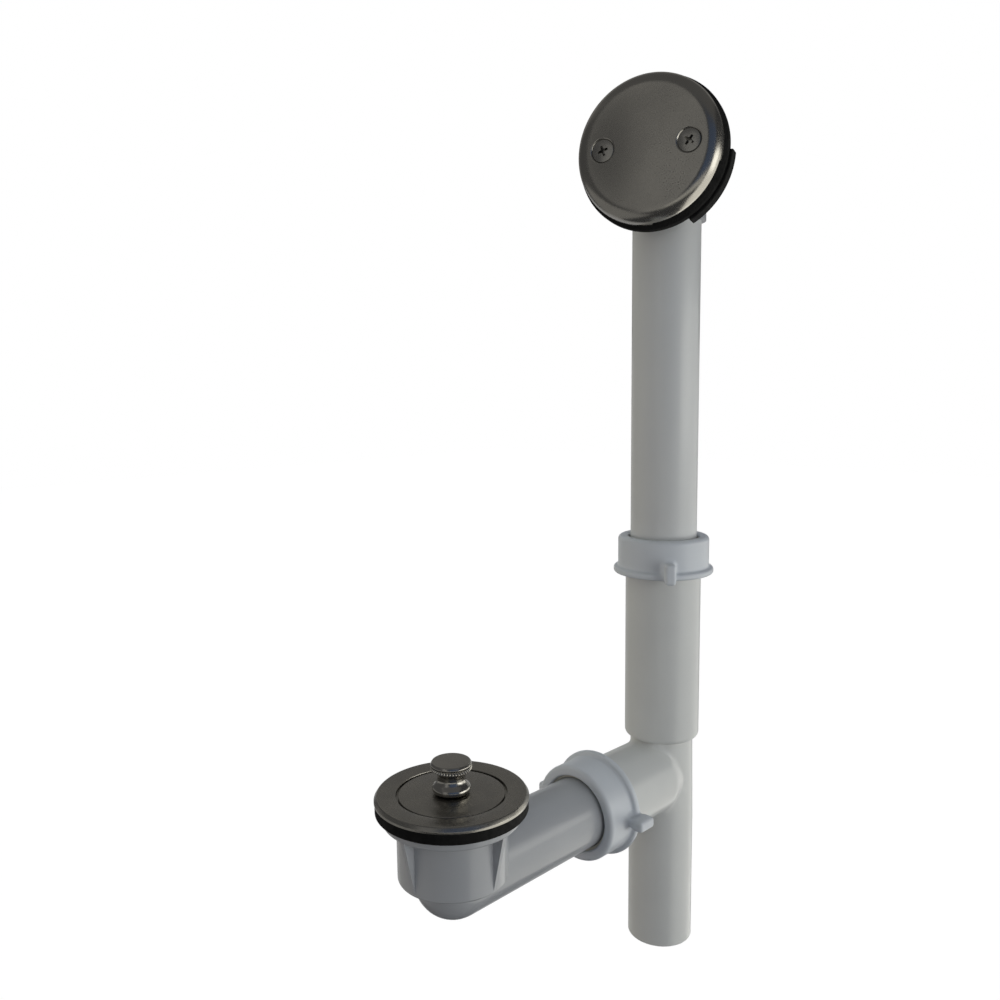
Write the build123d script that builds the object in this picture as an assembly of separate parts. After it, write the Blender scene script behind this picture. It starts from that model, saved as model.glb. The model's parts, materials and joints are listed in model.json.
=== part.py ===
"""Bath waste and overflow of tubular plastic, with a lift-and-turn stopper.

Millimetres, +Z up. The origin is the centre of the tub drain seat, where the drain flange
sits on its washer. The waste arm runs along +Y from under the drain to the tee, and the
overflow faceplate looks towards -Y, turned HEAD_TURN degrees towards +X in its slip joint.
"""
import os
from math import cos, radians, sin, tan

from build123d import *

# Tubes and slip sockets
TUBE_OD = 38.1
TUBE_WALL = 2.0
SOCKET_GAP = 0.5
SOCKET_WALL = 2.2
RUN_GAP = 0.3
GLUE_GAP = 0.1

# Layout of the assembly
ARM_LENGTH = 168.0
ARM_DROP = 40.5
HEAD_RISE = 352.3
HEAD_REACH = 32.5
HEAD_TURN = 19.0
HEAD_TILT = 5.0

# Tee
NECK_OD = 36.6
NECK_BORE = 32.2
BELL_SHOULDER = 23.0
BELL_FLOOR = 27.5
BELL_EDGE = 3.2
UPPER_NUT_AT = 121.8
SIDE_NUT_AT = 58.5
BRANCH_STOP = 35.0
BRANCH_TAPER = 14.0
BRANCH_ROOT_OD = 35.2
BRANCH_BEND = 12.0
BRANCH_BLEND = 4.0
TAIL_DROP = 103.4
TAIL_CLEAR = 5.25

# Slip nut
THREAD_OD = 46.8
THREAD_RUN = 16.0
NUT_HEIGHT = 21.8
NUT_WALL = 2.5
NUT_FLANGE_REACH = 2.6
NUT_FLANGE_T = 3.8
NUT_FLANGE_EDGE = 1.5
NUT_FLARE = 1.5
NUT_LIP_T = 2.2
NUT_OPENING = 41.2
NUT_EDGE = 2.4
WING_LENGTH = 8.2
WING_WIDTH = 5.6
WING_BELOW = 0.8
WING_ABOVE = 10.6
WING_EDGE = 1.2
UPPER_WING_AT = 42.0

# Slip washer
SLIP_FLANGE_T = 1.2
SLIP_DEPTH = 5.0
SLIP_TOE = 0.7
MOUTH_EDGE = 0.8

# Riser and overflow elbow
RISER_INSERT = 38.0
ARM_INSERT = 33.0
ELBOW_BORE = 34.0
ELBOW_WALL = 2.4
ELBOW_SOCKET = 14.0
ELBOW_FLANGE_OD = 70.0
ELBOW_FLANGE_T = 4.0
LUG_OD = 12.0
LUG_LENGTH = 12.0
INSERT_OD = 7.6
INSERT_LENGTH = 10.0
INSERT_SETBACK = 1.0

# Overflow gasket
GASKET_T = 8.0
GASKET_OD = 80.8
GASKET_EDGE = 1.2
GASKET_BORE = 38.0
GASKET_LOBE_OD = 84.0
GASKET_LOBE_DEPTH = 6.0
GASKET_LOBE_RISE = 2.0
GASKET_LOBE_FROM = -60.0
GASKET_LOBE_TO = -3.0

# Faceplate and its screws
PLATE_OD = 77.4
PLATE_DEPTH = 9.0
PLATE_CROWN = 0.8
PLATE_SKIRT = 2.0
PLATE_SHEET = 0.9
SCREW_MARGIN = 1.3
SCREW_HEAD_OD = 12.2
SCREW_HEAD_H = 3.4
SCREW_OD = 6.0
SCREW_LENGTH = 29.0
SCREW_GAP = 0.4
SCREW_SINK = 0.7
SCREW_RIM = 0.3
CROSS_SPAN = 5.6
CROSS_SLOT = 1.2
CROSS_DEPTH = 2.4
SLOT_FROM = -85.0
SLOT_TO = -15.0
SLOT_DEPTH = 2.6
NOTCH_FROM = -98.0
NOTCH_TO = -94.0
NOTCH_DEPTH = 1.6

# Waste shoe
SHOE_FLANGE_OD = 66.0
SHOE_FLANGE_T = 4.8
CUP_OD = 52.8
CUP_FLOOR = 39.2
CUP_FLOOR_T = 2.6
CUP_EDGE = 1.0
GUSSET_T = 2.2
GUSSET_RIM = 0.6
GUSSET_END = 1.5
GUSSET_TURN = 5.0

# Drain washer and strainer
WASHER_T = 6.1
WASHER_OD = 72.4
WASHER_BORE = 48.6
DRAIN_THREAD_OD = 46.8
DRAIN_THREAD_GAP = 0.3
DRAIN_LENGTH = 24.0
DRAIN_FLANGE_OD = 73.0
DRAIN_FLANGE_T = 2.2
DRAIN_DISH = 0.5
DRAIN_RECESS_FLOOR = 0.5
DRAIN_SEAT_R = 21.2
DRAIN_SEAT_DEPTH = 1.9
DRAIN_BORE = 39.2
BAR_WIDTH = 4.0
BAR_HEIGHT = 5.0
BAR_HUB_OD = 15.0

# Stopper
CAP_OD = 50.8
CAP_GAP = 0.45
CAP_EDGE_T = 0.6
CAP_CROWN = 0.5
CAP_CLEARANCE = 0.3
HUB_BORE = 12.6
HUB_WALL = 2.7
HUB_DROP = 15.5
HUB_ROOF = 1.6
KEY_WIDTH = 2.0
KEY_DEPTH = 0.9
KEY_GAP = 0.3
SEAL_T = 2.0
SEAL_BORE = 34.0
SEAL_GAP = 0.4
KNOB_HEIGHT = 15.3
KNOB_BASE_OD = 18.6
KNOB_NECK_OD = 13.2
KNOB_RIM_OD = 19.6
KNOB_TOP_OD = 18.0
KNOB_STUD_OD = 5.0

# Stopper post and what rides on it
POST_THREAD_OD = 9.2
POST_THREAD_GAP = 0.15
POST_TAIL = 3.0
POST_COLLAR_OD = 13.0
POST_COLLAR_T = 1.5
POST_OD = 7.0
POST_TOP = 1.9
SLEEVE_OD = 12.0
SLEEVE_TOP = 4.4
RING_SECTION = 1.0
RING_GROOVE = 0.7
RING_FROM_TOP = 2.6
CLIP_T = 0.6
CLIP_OD = 10.2
CLIP_GROOVE = 0.6

# Values that follow from the ones above
TUBE_R = TUBE_OD / 2
TUBE_BORE_R = TUBE_R - TUBE_WALL
SOCKET_R = TUBE_R + SOCKET_GAP
BELL_R = SOCKET_R + SOCKET_WALL
THREAD_R = THREAD_OD / 2
NUT_BAND_R = THREAD_R + RUN_GAP + NUT_WALL
NUT_FLANGE_R = NUT_BAND_R + NUT_FLANGE_REACH
WING_REACH = NUT_FLANGE_R + WING_LENGTH
ARM_Z = -ARM_DROP
SOCKET_END = NUT_HEIGHT - NUT_LIP_T - 2 * RUN_GAP - SLIP_FLANGE_T
BELL_TOP = UPPER_NUT_AT + SOCKET_END
BRANCH_END = SIDE_NUT_AT + SOCKET_END
TAIL_Z = ARM_Z - TAIL_DROP
ELBOW_R = TUBE_R + GLUE_GAP + ELBOW_WALL
ELBOW_CORNER = HEAD_RISE - HEAD_REACH * tan(radians(HEAD_TILT))
HEAD_AXIS = HEAD_REACH / cos(radians(HEAD_TILT))
RISER_FOOT = BELL_TOP - RISER_INSERT
RISER_TOP = ELBOW_CORNER - ELBOW_BORE / 2 + TUBE_WALL
SHOE_TOP = -WASHER_T
SHOE_BELOW = SHOE_TOP - SHOE_FLANGE_T
SCREW_TOP = PLATE_DEPTH + PLATE_CROWN / 2 - SCREW_SINK
PLATE_BEND = PLATE_DEPTH - PLATE_SKIRT
DIMPLE_R = SCREW_HEAD_OD / 2 + SCREW_GAP + PLATE_SHEET
SCREW_X = PLATE_OD / 2 - PLATE_BEND - DIMPLE_R - SCREW_MARGIN
CAP_Z = DRAIN_RECESS_FLOOR + CAP_CLEARANCE
CAP_TOP = CAP_Z + CAP_EDGE_T + CAP_CROWN
HUB_R = HUB_BORE / 2 + HUB_WALL
BAR_TOP = -DRAIN_LENGTH + BAR_HEIGHT
SLEEVE_FOOT = BAR_TOP + POST_COLLAR_T + RUN_GAP

# Where the sub-assemblies stand
TEE_PLACE = Location((0, ARM_LENGTH, ARM_Z))
UPPER_JOINT = TEE_PLACE * Location((0, 0, UPPER_NUT_AT)) * Rotation(0, 0, UPPER_WING_AT - 90)
SIDE_JOINT = TEE_PLACE * Location((0, -SIDE_NUT_AT, 0)) * Rotation(90, 0, 0)
HEAD_PLANE = Plane(
    origin=(
        HEAD_REACH * sin(radians(HEAD_TURN)),
        ARM_LENGTH - HEAD_REACH * cos(radians(HEAD_TURN)),
        ARM_Z + HEAD_RISE,
    ),
    x_dir=(cos(radians(HEAD_TURN)), sin(radians(HEAD_TURN)), 0),
    z_dir=(
        sin(radians(HEAD_TURN)) * cos(radians(HEAD_TILT)),
        -cos(radians(HEAD_TURN)) * cos(radians(HEAD_TILT)),
        sin(radians(HEAD_TILT)),
    ),
)


def turned(*points):
    """Solid of revolution about Z from the corners (radius, height) of its half section."""
    outline = Polyline(*[(radius, 0, height) for radius, height in points], close=True)
    return revolve(make_face(outline), Axis.Z)


def rod(radius, low, high):
    """Round bar about Z between two heights."""
    bar = Cylinder(radius, high - low, align=(Align.CENTER, Align.CENTER, Align.MIN))
    return Pos(0, 0, low) * bar


def ring(outer, inner, low, high):
    """Plain ring about Z between two heights."""
    return turned((inner, low), (outer, low), (outer, high), (inner, high))


def block(x_low, x_high, y_low, y_high, z_low, z_high):
    """Box between its lowest and highest corners."""
    box = Box(x_high - x_low, y_high - y_low, z_high - z_low, align=Align.MIN)
    return Pos(x_low, y_low, z_low) * box


def rim_edges(solid, radius, height):
    """Round edges about Z of one radius at one height."""
    def fits(edge):
        centre = edge.arc_center
        level = abs(centre.Z - height) < 0.01 and abs(edge.bounding_box().size.Z) < 0.01
        return level and abs(edge.radius - radius) < 0.01 and abs(centre.X) + abs(centre.Y) < 0.01

    return solid.edges().filter_by(GeomType.CIRCLE).filter_by(fits)


def sector(radius, low, high, start, stop):
    """Wedge about Z between two angles from +X, used to cut or keep part of a ring."""
    outline = Polyline((0, 0, 0), (radius, 0, 0), (radius, 0, high - low), (0, 0, high - low), close=True)
    wedge = revolve(make_face(outline), Axis.Z, stop - start)
    return Pos(0, 0, low) * Rotation(0, 0, start) * wedge


def threaded_end(end):
    """Outer form of a slip socket's end: the thread band that the nut screws on."""
    foot = end - THREAD_RUN
    return turned(
        (0, foot - 1),
        (BELL_R, foot - 1),
        (THREAD_R, foot + 1),
        (THREAD_R, end - 1),
        (THREAD_R - 1, end),
        (0, end),
    )


def socket_bore(floor, end):
    """Room for the tube and the tapered mouth for the slip washer."""
    mouth = SOCKET_R + SLIP_DEPTH * 0.5
    return turned(
        (0, floor),
        (SOCKET_R, floor),
        (SOCKET_R, end - SLIP_DEPTH),
        (mouth, end),
        (mouth, end + 1),
        (0, end + 1),
    )


def tee_run():
    """Outer form of the upright run, from the tail to the bell, about its own axis."""
    run = turned(
        (0, -TAIL_DROP),
        (TUBE_R, -TAIL_DROP),
        (TUBE_R, -BELL_R - TAIL_CLEAR),
        (NECK_OD / 2, BELL_R),
        (NECK_OD / 2, BELL_SHOULDER),
        (BELL_R, BELL_SHOULDER),
        (BELL_R, BELL_TOP - THREAD_RUN),
        (0, BELL_TOP - THREAD_RUN),
    )
    run = fillet(rim_edges(run, BELL_R, BELL_SHOULDER), BELL_EDGE)
    return run + threaded_end(BELL_TOP)


def tee_branch():
    """Outer form of the side branch, narrowed where it meets the run, laid along the arm."""
    branch = turned(
        (0, 1),
        (BRANCH_ROOT_OD / 2, 1),
        (BELL_R, BRANCH_TAPER),
        (BELL_R, BRANCH_END - THREAD_RUN),
        (0, BRANCH_END - THREAD_RUN),
    )
    branch = fillet(rim_edges(branch, BELL_R, BRANCH_TAPER), BRANCH_BEND)
    return Rotation(90, 0, 0) * Rotation(0, 0, 90) * (branch + threaded_end(BRANCH_END))


def blended(run, branch):
    """Run and branch joined, with the crease between them rounded."""
    body = run + branch
    crease = body.edges() - run.edges() - branch.edges()
    crease = crease.filter_by(GeomType.BSPLINE).filter_by(lambda edge: edge.center().Y < -1)
    return fillet(crease, BRANCH_BLEND)


def tee_body():
    """Tee moulded in one piece: bell above, branch to the arm, tail below."""
    body = blended(Rotation(0, 0, 90) * tee_run(), tee_branch())
    waterway = rod(NECK_BORE / 2, -BELL_R, BELL_FLOOR + 1)
    waterway += turned(
        (0, -TAIL_DROP - 1),
        (TUBE_BORE_R, -TAIL_DROP - 1),
        (TUBE_BORE_R, -BELL_R - 2),
        (NECK_BORE / 2, -BELL_R + 2),
        (0, -BELL_R + 2),
    )
    waterway += socket_bore(BELL_FLOOR, BELL_TOP)
    waterway += Rotation(90, 0, 0) * rod(NECK_BORE / 2, 0, BRANCH_STOP + 1)
    waterway += Rotation(90, 0, 0) * socket_bore(BRANCH_STOP, BRANCH_END)
    return TEE_PLACE * (body - waterway)


def slip_nut():
    """Winged slip nut about Z, its flange at height 0 and its opening on top."""
    nut = turned(
        (0, 0),
        (NUT_FLANGE_R, 0),
        (NUT_FLANGE_R, NUT_FLANGE_T),
        (NUT_BAND_R, NUT_FLANGE_T),
        (NUT_BAND_R, NUT_HEIGHT),
        (0, NUT_HEIGHT),
    )
    nut = fillet(rim_edges(nut, NUT_BAND_R, NUT_HEIGHT), NUT_EDGE)
    nut = fillet(rim_edges(nut, NUT_BAND_R, NUT_FLANGE_T), NUT_FLARE)
    rim = rim_edges(nut, NUT_FLANGE_R, 0) + rim_edges(nut, NUT_FLANGE_R, NUT_FLANGE_T)
    nut = fillet(rim, NUT_FLANGE_EDGE)
    root = THREAD_R + 2 * RUN_GAP
    wing = block(root, WING_REACH, -WING_WIDTH / 2, WING_WIDTH / 2, -WING_BELOW, WING_ABOVE)
    wing = fillet(wing.faces().sort_by(Axis.X)[-1].edges(), WING_EDGE)
    wing -= rod(NUT_BAND_R, -WING_BELOW - 1, 0)
    flare = block(root, NUT_FLANGE_R + 1, -WING_WIDTH, WING_WIDTH, 0, WING_ABOVE - 1)
    flare = chamfer(flare.faces().sort_by(Axis.X)[-1].edges().filter_by(Axis.Z), WING_WIDTH / 2 - 0.1)
    ear = wing + flare
    nut += ear + Rotation(0, 0, 180) * ear
    nut -= rod(NUT_OPENING / 2, -1, NUT_HEIGHT + 1)
    nut -= rod(THREAD_R + RUN_GAP, -WING_BELOW - 1, NUT_HEIGHT - NUT_LIP_T)
    return nut


def slip_washer():
    """Tapered washer about Z, in the same frame as the nut that presses it on the tube."""
    bore = TUBE_R + RUN_GAP
    brim = THREAD_R - RUN_GAP
    low = SOCKET_END + RUN_GAP
    heel = SOCKET_R + SLIP_DEPTH * 0.5 - RUN_GAP
    toe_height = SOCKET_END - SLIP_DEPTH + 2 * SLIP_TOE
    toe = bore + SLIP_TOE
    return turned(
        (bore, toe_height),
        (toe, toe_height),
        (heel - RUN_GAP, low),
        (brim, low),
        (brim, low + SLIP_FLANGE_T),
        (bore, low + SLIP_FLANGE_T),
    )


def riser_tube():
    """Plain overflow tube from the tee's bell to the elbow."""
    return TEE_PLACE * ring(TUBE_R, TUBE_BORE_R, RISER_FOOT, RISER_TOP)


def on_head(shape):
    """Place a piece that is drawn with +Z out of the faceplate."""
    return HEAD_PLANE.location * shape


def at_screws(shape):
    """The same shape at both screw places of the head's frame."""
    return Pos(-SCREW_X, 0, 0) * shape + Pos(SCREW_X, 0, 0) * shape


def corner_wedge(radius):
    """Ball-shaped outside of the elbow's bend, between its upright and its outlet."""
    arc = ThreePointArc((radius, 0, 0), (0, radius, 0), (-radius, 0, 0))
    half_disc = make_face([arc, Line((-radius, 0, 0), (radius, 0, 0))])
    wedge = revolve(half_disc, Axis.X, 90 - HEAD_TILT)
    return TEE_PLACE * Pos(0, 0, ELBOW_CORNER) * Rotation(0, 0, HEAD_TURN) * wedge


def overflow_elbow():
    """Moulded elbow: socket for the riser below, flange with two screw lugs in front."""
    foot = RISER_TOP - ELBOW_SOCKET
    bore = ELBOW_BORE / 2
    back = -GASKET_T - ELBOW_FLANGE_T
    outlet = rod(ELBOW_R, -HEAD_AXIS, back + 1)
    outlet += rod(ELBOW_FLANGE_OD / 2, back, -GASKET_T)
    outlet += at_screws(rod(LUG_OD / 2, back - LUG_LENGTH, back + 1))
    solid = TEE_PLACE * rod(ELBOW_R, foot, ELBOW_CORNER) + corner_wedge(ELBOW_R) + on_head(outlet)
    passage = rod(bore, -HEAD_AXIS, -GASKET_T + 1)
    hollow = TEE_PLACE * rod(bore, RISER_TOP - 1, ELBOW_CORNER) + corner_wedge(bore) + on_head(passage)
    solid -= hollow
    solid -= TEE_PLACE * rod(TUBE_R + GLUE_GAP, foot - 1, RISER_TOP)
    return solid - on_head(at_screws(rod(INSERT_OD / 2, back - LUG_LENGTH + 2, -GASKET_T + 1)))


def elbow_insert(side):
    """Brass insert of one screw lug; side is -1 on the left and 1 on the right."""
    front = -GASKET_T - INSERT_SETBACK
    insert = ring(INSERT_OD / 2, SCREW_OD / 2 + GLUE_GAP, front - INSERT_LENGTH, front)
    return on_head(Pos(side * SCREW_X, 0, 0) * insert)


def overflow_gasket():
    """Foam gasket between the elbow and the tub, with a deeper lip on one side."""
    radius = GASKET_OD / 2
    pad = ring(radius, GASKET_BORE / 2, -GASKET_T, 0)
    pad = fillet(rim_edges(pad, radius, 0), GASKET_EDGE)
    pad -= at_screws(rod(SCREW_OD / 2 + SCREW_GAP, -GASKET_T - 1, 1))
    low = -GASKET_T - GASKET_LOBE_DEPTH
    high = -GASKET_T + GASKET_LOBE_RISE
    lip = ring(GASKET_LOBE_OD / 2, ELBOW_FLANGE_OD / 2 + SCREW_GAP, low, high)
    lip &= sector(GASKET_LOBE_OD, low, high, GASKET_LOBE_FROM, GASKET_LOBE_TO)
    return on_head(pad + lip)


def plate_dome(inset):
    """Domed plate outline, solid, inset from the outer surface by the sheet's thickness."""
    radius = PLATE_OD / 2 - inset
    top = PLATE_DEPTH - inset
    bend = PLATE_BEND - inset
    flat = radius - bend
    middle = (flat + bend * sin(radians(45)), 0, PLATE_SKIRT + bend * sin(radians(45)))
    side = Polyline((0, 0, -1), (radius, 0, -1), (radius, 0, PLATE_SKIRT))
    shoulder = ThreePointArc((radius, 0, PLATE_SKIRT), middle, (flat, 0, top))
    crest = (0, 0, top + PLATE_CROWN)
    crown = ThreePointArc((flat, 0, top), (flat / 2, 0, top + PLATE_CROWN * 0.75), crest)
    axis_line = Line(crest, (0, 0, -1))
    dome = revolve(make_face(side.edges() + [shoulder, crown, axis_line]), Axis.Z)
    return Rotation(0, 0, 90) * dome


def screw_cone(grow, crest):
    """Countersunk head form about Z, widened by grow and carried up to the height crest."""
    brim = SCREW_TOP - SCREW_RIM
    return turned(
        (0, SCREW_TOP - SCREW_HEAD_H),
        (SCREW_OD / 2 + grow, SCREW_TOP - SCREW_HEAD_H),
        (SCREW_HEAD_OD / 2 + grow, brim),
        (SCREW_HEAD_OD / 2 + grow, crest),
        (0, crest),
    )


def overflow_faceplate():
    """Pressed faceplate with a cut skirt and two countersunk screw dimples."""
    above = PLATE_DEPTH + PLATE_CROWN + 1
    outer = plate_dome(0) - block(-PLATE_OD, PLATE_OD, -PLATE_OD, PLATE_OD, -2, 0)
    plate = outer - plate_dome(PLATE_SHEET)
    plate += at_screws(screw_cone(SCREW_GAP + PLATE_SHEET, above)) & outer
    plate -= at_screws(screw_cone(SCREW_GAP, above) + rod(SCREW_OD / 2 + SCREW_GAP, 0, PLATE_DEPTH))
    plate -= sector(PLATE_OD, -1, SLOT_DEPTH, SLOT_FROM, SLOT_TO)
    plate -= sector(PLATE_OD, -1, NOTCH_DEPTH, NOTCH_FROM, NOTCH_TO)
    return on_head(plate)


def faceplate_screw(side):
    """Flat-head cross-slot screw; side is -1 on the left and 1 on the right."""
    screw = screw_cone(0, SCREW_TOP)
    screw += rod(SCREW_OD / 2, SCREW_TOP - SCREW_LENGTH, SCREW_TOP - SCREW_HEAD_H + 0.5)
    half = CROSS_SPAN / 2
    slot = block(-half, half, -CROSS_SLOT / 2, CROSS_SLOT / 2, SCREW_TOP - CROSS_DEPTH, SCREW_TOP + 1)
    screw -= slot + Rotation(0, 0, 90) * slot
    return on_head(Pos(side * SCREW_X, 0, 0) * screw)


def shoe_gusset():
    """Thin web from under the shoe's flange down to the foot of the cup, on the +X side."""
    inside = CUP_OD / 2 - 1
    outline = Polyline(
        (inside, 0, SHOE_BELOW + 0.5),
        (SHOE_FLANGE_OD / 2 - GUSSET_RIM, 0, SHOE_BELOW + 0.5),
        (SHOE_FLANGE_OD / 2 - GUSSET_RIM, 0, SHOE_BELOW),
        (CUP_OD / 2, 0, -CUP_FLOOR + GUSSET_END),
        (inside, 0, -CUP_FLOOR + GUSSET_END),
        close=True,
    )
    return extrude(make_face(outline), GUSSET_T / 2, both=True)


def waste_shoe():
    """Shoe moulded in one piece: flange, threaded cup on webs, and the waste arm."""
    cup = rod(CUP_OD / 2, -CUP_FLOOR, SHOE_TOP - 1)
    cup = fillet(rim_edges(cup, CUP_OD / 2, -CUP_FLOOR), CUP_EDGE)
    flange = rod(SHOE_FLANGE_OD / 2, SHOE_BELOW, SHOE_TOP)
    flange = fillet(rim_edges(flange, SHOE_FLANGE_OD / 2, SHOE_BELOW), SHOE_FLANGE_T * 0.3)
    shoe = cup + flange
    for quarter in range(4):
        shoe += Rotation(0, 0, GUSSET_TURN + 90 * quarter) * shoe_gusset()
    arm_reach = ARM_LENGTH - BRANCH_END + ARM_INSERT
    arm = Pos(0, 0, ARM_Z) * Rotation(-90, 0, 0)
    shoe += arm * rod(TUBE_R, 0, arm_reach) + Pos(0, 0, ARM_Z) * Sphere(TUBE_R)
    hollow = rod(DRAIN_THREAD_OD / 2 + DRAIN_THREAD_GAP, -CUP_FLOOR + CUP_FLOOR_T, SHOE_TOP + 1)
    hollow += arm * rod(TUBE_BORE_R, 0, arm_reach + 1) + Pos(0, 0, ARM_Z) * Sphere(TUBE_BORE_R)
    return shoe - hollow


def drain_washer():
    """Flat rubber washer that stands in for the tub's floor between flange and shoe."""
    washer = ring(WASHER_OD / 2, WASHER_BORE / 2, SHOE_TOP, 0)
    edges = rim_edges(washer, WASHER_OD / 2, SHOE_TOP) + rim_edges(washer, WASHER_OD / 2, 0)
    return fillet(edges, WASHER_T * 0.12)


def drain_strainer():
    """Threaded drain body with its flange, stopper seat and cross bars."""
    edge = DRAIN_FLANGE_OD / 2
    recess = CAP_OD / 2 + CAP_GAP
    bore = DRAIN_BORE / 2
    thread = DRAIN_THREAD_OD / 2
    body = turned(
        (bore, -DRAIN_LENGTH),
        (thread - 1, -DRAIN_LENGTH),
        (thread, -DRAIN_LENGTH + 1),
        (thread, 0),
        (edge - 0.5, 0),
        (edge, 0.5),
        (edge, DRAIN_FLANGE_T - 0.8),
        (edge - 1.3, DRAIN_FLANGE_T),
        (recess, DRAIN_FLANGE_T - DRAIN_DISH),
        (recess, DRAIN_RECESS_FLOOR),
        (DRAIN_SEAT_R, DRAIN_RECESS_FLOOR),
        (bore, DRAIN_RECESS_FLOOR - DRAIN_SEAT_DEPTH),
    )
    bar = block(-bore - 0.5, bore + 0.5, -BAR_WIDTH / 2, BAR_WIDTH / 2, -DRAIN_LENGTH, BAR_TOP)
    body += bar + Rotation(0, 0, 90) * bar + rod(BAR_HUB_OD / 2, -DRAIN_LENGTH, BAR_TOP)
    return body - rod(POST_THREAD_OD / 2 + POST_THREAD_GAP, -DRAIN_LENGTH - 1, BAR_TOP + 1)


def post_groove(middle, height, depth):
    """Ring cut out of the post's shaft."""
    shaft = POST_OD / 2
    return ring(shaft + 1, shaft - depth, middle - height / 2, middle + height / 2)


def clip_height():
    """Middle of the clip, resting just above the sleeve."""
    return -SLEEVE_TOP + RUN_GAP + CLIP_T / 2


def ring_height():
    """Middle of the friction ring, inside the sleeve."""
    return -SLEEVE_TOP - RING_FROM_TOP


def stopper_post():
    """Brass post screwed into the cross bars, with grooves for the ring and the clip."""
    thread = POST_THREAD_OD / 2
    post = turned(
        (0, -DRAIN_LENGTH - POST_TAIL),
        (thread - 0.8, -DRAIN_LENGTH - POST_TAIL),
        (thread, -DRAIN_LENGTH - POST_TAIL + 0.8),
        (thread, BAR_TOP),
        (POST_COLLAR_OD / 2, BAR_TOP),
        (POST_COLLAR_OD / 2, BAR_TOP + POST_COLLAR_T),
        (POST_OD / 2, BAR_TOP + POST_COLLAR_T),
        (POST_OD / 2, -POST_TOP - 0.5),
        (POST_OD / 2 - 0.5, -POST_TOP),
        (0, -POST_TOP),
    )
    post -= post_groove(ring_height(), RING_SECTION + 0.2, RING_GROOVE)
    return post - post_groove(clip_height(), CLIP_T + 0.1, CLIP_GROOVE)


def post_friction_ring():
    """Rubber ring in the post's groove that holds the sleeve by friction."""
    inner = POST_OD / 2 - RING_GROOVE
    middle = ring_height()
    half = RING_SECTION / 2
    return turned(
        (inner, middle - half + 0.25),
        (inner + 0.25, middle - half),
        (inner + RING_SECTION - 0.35, middle - half),
        (inner + RING_SECTION - 0.05, middle),
        (inner + RING_SECTION - 0.35, middle + half),
        (inner + 0.25, middle + half),
        (inner, middle + half - 0.25),
    )


def post_clip():
    """Open spring clip that keeps the sleeve on the post."""
    middle = clip_height()
    clip = ring(CLIP_OD / 2, POST_OD / 2 - CLIP_GROOVE, middle - CLIP_T / 2, middle + CLIP_T / 2)
    gap = POST_OD * 0.4
    return clip - block(0, CLIP_OD, -gap, gap, middle - CLIP_T, middle + CLIP_T)


def stopper_cam_sleeve():
    """Sleeve that turns on the post with the stopper; two key ways let the stopper rise."""
    sleeve = ring(SLEEVE_OD / 2, POST_OD / 2 + RUN_GAP, SLEEVE_FOOT, -SLEEVE_TOP)
    way = KEY_WIDTH / 2 + KEY_GAP
    depth = HUB_BORE / 2 - KEY_DEPTH - KEY_GAP
    cut = block(depth, SLEEVE_OD, -way, way, SLEEVE_FOOT - 1, 0)
    return sleeve - cut - Rotation(0, 0, 180) * cut


def stopper_cap():
    """Turned stopper: thin crowned cap with the keyed hub that slides on the sleeve."""
    edge = CAP_OD / 2
    bore = HUB_BORE / 2
    top = CAP_Z + CAP_EDGE_T
    hub_top = CAP_Z - HUB_ROOF
    outline = Polyline(
        (0, 0, hub_top),
        (bore, 0, hub_top),
        (bore, 0, -HUB_DROP),
        (HUB_R, 0, -HUB_DROP),
        (HUB_R, 0, CAP_Z),
        (edge, 0, CAP_Z),
        (edge, 0, top - 0.3),
        (edge - 0.4, 0, top),
    )
    crown = ThreePointArc((edge - 0.4, 0, top), (edge / 2, 0, top + CAP_CROWN * 0.75), (0, 0, CAP_TOP))
    axis_line = Line((0, 0, CAP_TOP), (0, 0, hub_top))
    cap = revolve(make_face(outline.edges() + [crown, axis_line]), Axis.Z)
    key = block(bore - KEY_DEPTH, bore + 0.5, -KEY_WIDTH / 2, KEY_WIDTH / 2, -HUB_DROP, hub_top)
    cap += key + Rotation(0, 0, 180) * key
    return cap - rod(KNOB_STUD_OD / 2 + GLUE_GAP, hub_top - 1, CAP_TOP + 1)


def stopper_seal():
    """Rubber seal under the cap, tapered to the drain body's seat."""
    slope = (DRAIN_SEAT_R - DRAIN_BORE / 2) / DRAIN_SEAT_DEPTH
    outer = DRAIN_SEAT_R - SEAL_GAP
    return turned(
        (SEAL_BORE / 2, CAP_Z - SEAL_T),
        (outer - SEAL_T * slope, CAP_Z - SEAL_T),
        (outer, CAP_Z - CAP_CLEARANCE),
        (outer, CAP_Z),
        (SEAL_BORE / 2, CAP_Z),
    )


def stopper_knob():
    """Turned spool knob with a stud that screws into the cap."""
    base = KNOB_BASE_OD / 2
    neck = KNOB_NECK_OD / 2
    rim = KNOB_RIM_OD / 2
    crest = KNOB_TOP_OD / 2
    foot = CAP_TOP
    height = KNOB_HEIGHT
    stud = KNOB_STUD_OD / 2
    return turned(
        (0, CAP_Z - HUB_ROOF),
        (stud, CAP_Z - HUB_ROOF),
        (stud, foot),
        (base - 2.4, foot),
        (base - 1.1, foot + 0.035 * height),
        (base - 0.2, foot + 0.1 * height),
        (base, foot + 0.165 * height),
        (base - 0.2, foot + 0.21 * height),
        (neck + 0.8, foot + 0.34 * height),
        (neck, foot + 0.47 * height),
        (neck + 0.3, foot + 0.58 * height),
        (rim - 0.9, foot + 0.7 * height),
        (rim, foot + 0.79 * height),
        (rim, foot + 0.92 * height),
        (crest, foot + height),
        (0, foot + height),
    )


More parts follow.
